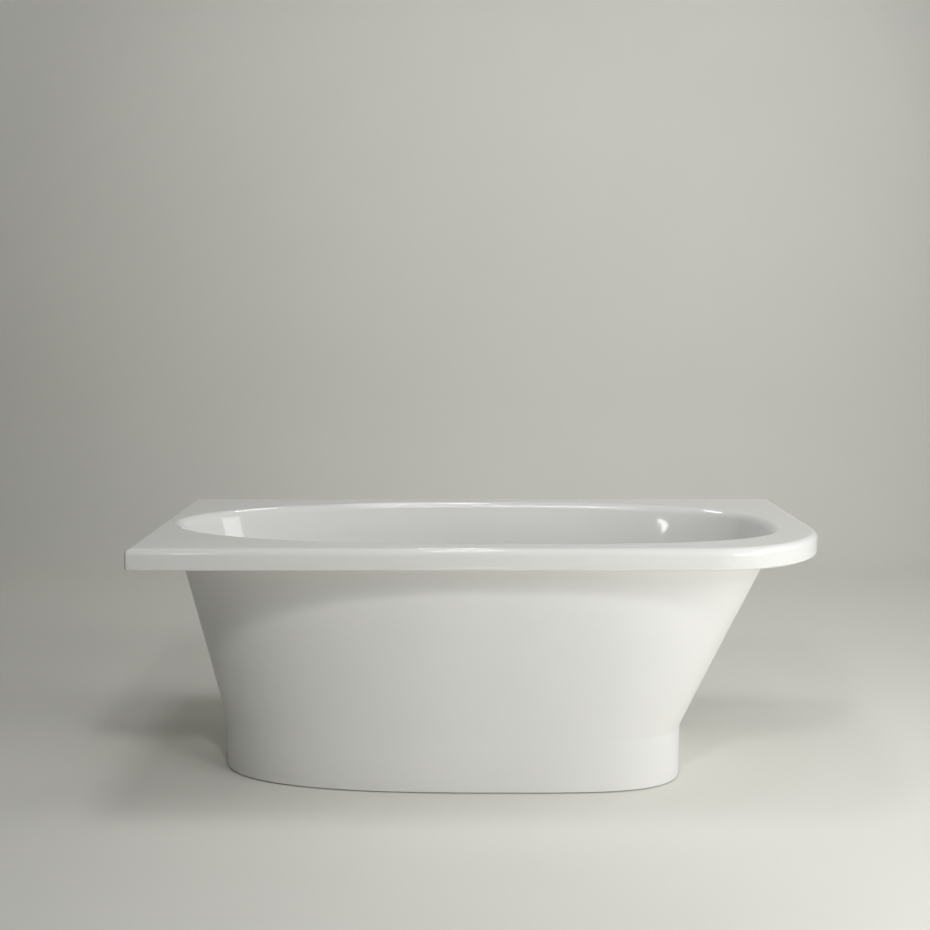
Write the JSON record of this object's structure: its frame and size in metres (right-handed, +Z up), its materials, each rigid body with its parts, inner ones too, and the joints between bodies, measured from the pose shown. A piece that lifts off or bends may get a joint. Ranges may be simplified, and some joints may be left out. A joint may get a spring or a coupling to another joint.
{
  "type": "bathtub",
  "caption": "Back-to-wall bath with an oval basin, thick rim with one rounded corner, tapered oval skirt, pop-up waste, overflow knob, trap and adjustable feet.",
  "frame": {"origin": "on the floor, under the middle of the rim's plan", "axes": "+X along the bath to its right-hand end as seen from the room, +Y to the wall behind, +Z up"},
  "size_m": [1.6, 0.75, 0.6],
  "materials": {
    "gloss_acrylic": "glossy white sheet acrylic",
    "satin_acrylic": "satin white acrylic",
    "glass_fibre": "chopped glass strand in resin, rough",
    "timber": "planed softwood",
    "board": "pressed chipboard",
    "zinc_steel": "zinc plated",
    "fastener_steel": "zinc plated, yellowed",
    "chrome": "polished",
    "brass": "turned",
    "seal_rubber": "soft black",
    "white_fitting": "moulded polypropylene",
    "grey_pipe": "extruded grey pipe",
    "black_nut": "moulded black",
    "cable_sleeve": "smooth sleeve",
    "foot_plastic": "moulded black",
    "sole_rubber": "soft black"
  },
  "bodies": {
    "bath": {"bath_shell": "gloss_acrylic", "glass_fibre_layer": "glass_fibre", "rim_closing_frame": "gloss_acrylic", "rim_battens": "timber", "skirt": "satin_acrylic", "base_board": "board", "foot_end_bar": "zinc_steel", "head_end_bar": "zinc_steel", "bar_screws": "fastener_steel", "weld_nuts": "fastener_steel", "lock_nuts": "fastener_steel", "skirt_blocks": "timber", "waste_flange": "chrome", "waste_top_seal": "seal_rubber", "waste_bottom_seal": "seal_rubber", "waste_body": "white_fitting", "lever_pin": "fastener_steel", "overflow_flange": "chrome", "overflow_seal": "seal_rubber", "overflow_body": "white_fitting", "overflow_pipe": "grey_pipe", "pipe_nuts": "black_nut", "release_cable": "cable_sleeve", "cable_clips": "black_nut", "trap_bend": "white_fitting", "cleaning_cap": "black_nut", "trap_inlet_nut": "black_nut", "trap_outlet_nut": "black_nut", "outlet_elbow": "white_fitting", "elbow_nut": "black_nut", "outlet_pipe": "grey_pipe"},
    "overflow_knob": {"overflow_knob": "chrome", "knob_spindle": "brass", "cable_crank": "white_fitting"},
    "plug": {"plug_cap": "chrome", "plug_seal": "seal_rubber", "plug_stem": "brass"},
    "lift_lever": {"lift_lever": "white_fitting"},
    "foot_front_left": {"foot_rod_front_left": "zinc_steel", "foot_pad_front_left": "foot_plastic", "foot_sole_front_left": "sole_rubber"},
    "foot_front_right": {"foot_rod_front_right": "zinc_steel", "foot_pad_front_right": "foot_plastic", "foot_sole_front_right": "sole_rubber"},
    "foot_back_left": {"foot_rod_back_left": "zinc_steel", "foot_pad_back_left": "foot_plastic", "foot_sole_back_left": "sole_rubber"},
    "foot_back_right": {"foot_rod_back_right": "zinc_steel", "foot_pad_back_right": "foot_plastic", "foot_sole_back_right": "sole_rubber"}
  },
  "joints": [
    {"name": "knob_turn", "type": "hinge", "parent": "bath", "child": "overflow_knob", "pos_m": [-0.03, 0.27192, 0.445], "axis": [0, -0.9916, 0.1295], "range_deg": [0, 75]},
    {"name": "plug_lift", "type": "slide", "parent": "bath", "child": "plug", "axis": [0, 0, 1], "range_m": [0, 0.0126]},
    {"name": "lever_swing", "type": "hinge", "parent": "bath", "child": "lift_lever", "pos_m": [-0.03, 0.011, 0.10772], "axis": [-1, 0, 0], "range_deg": [0, 35]},
    {"name": "foot_front_left_level", "type": "slide", "parent": "bath", "child": "foot_front_left", "axis": [0, 0, 1], "range_m": [-0.015, 0.012]},
    {"name": "foot_front_right_level", "type": "slide", "parent": "bath", "child": "foot_front_right", "axis": [0, 0, 1], "range_m": [-0.015, 0.012]},
    {"name": "foot_back_left_level", "type": "slide", "parent": "bath", "child": "foot_back_left", "axis": [0, 0, 1], "range_m": [-0.015, 0.012]},
    {"name": "foot_back_right_level", "type": "slide", "parent": "bath", "child": "foot_back_right", "axis": [0, 0, 1], "range_m": [-0.015, 0.012]}
  ],
  "couplings": [
    {"joint": "plug_lift", "follows": "knob_turn", "m_per_rad": 0.009625},
    {"joint": "lever_swing", "follows": "knob_turn", "ratio": 0.4666}
  ]
}
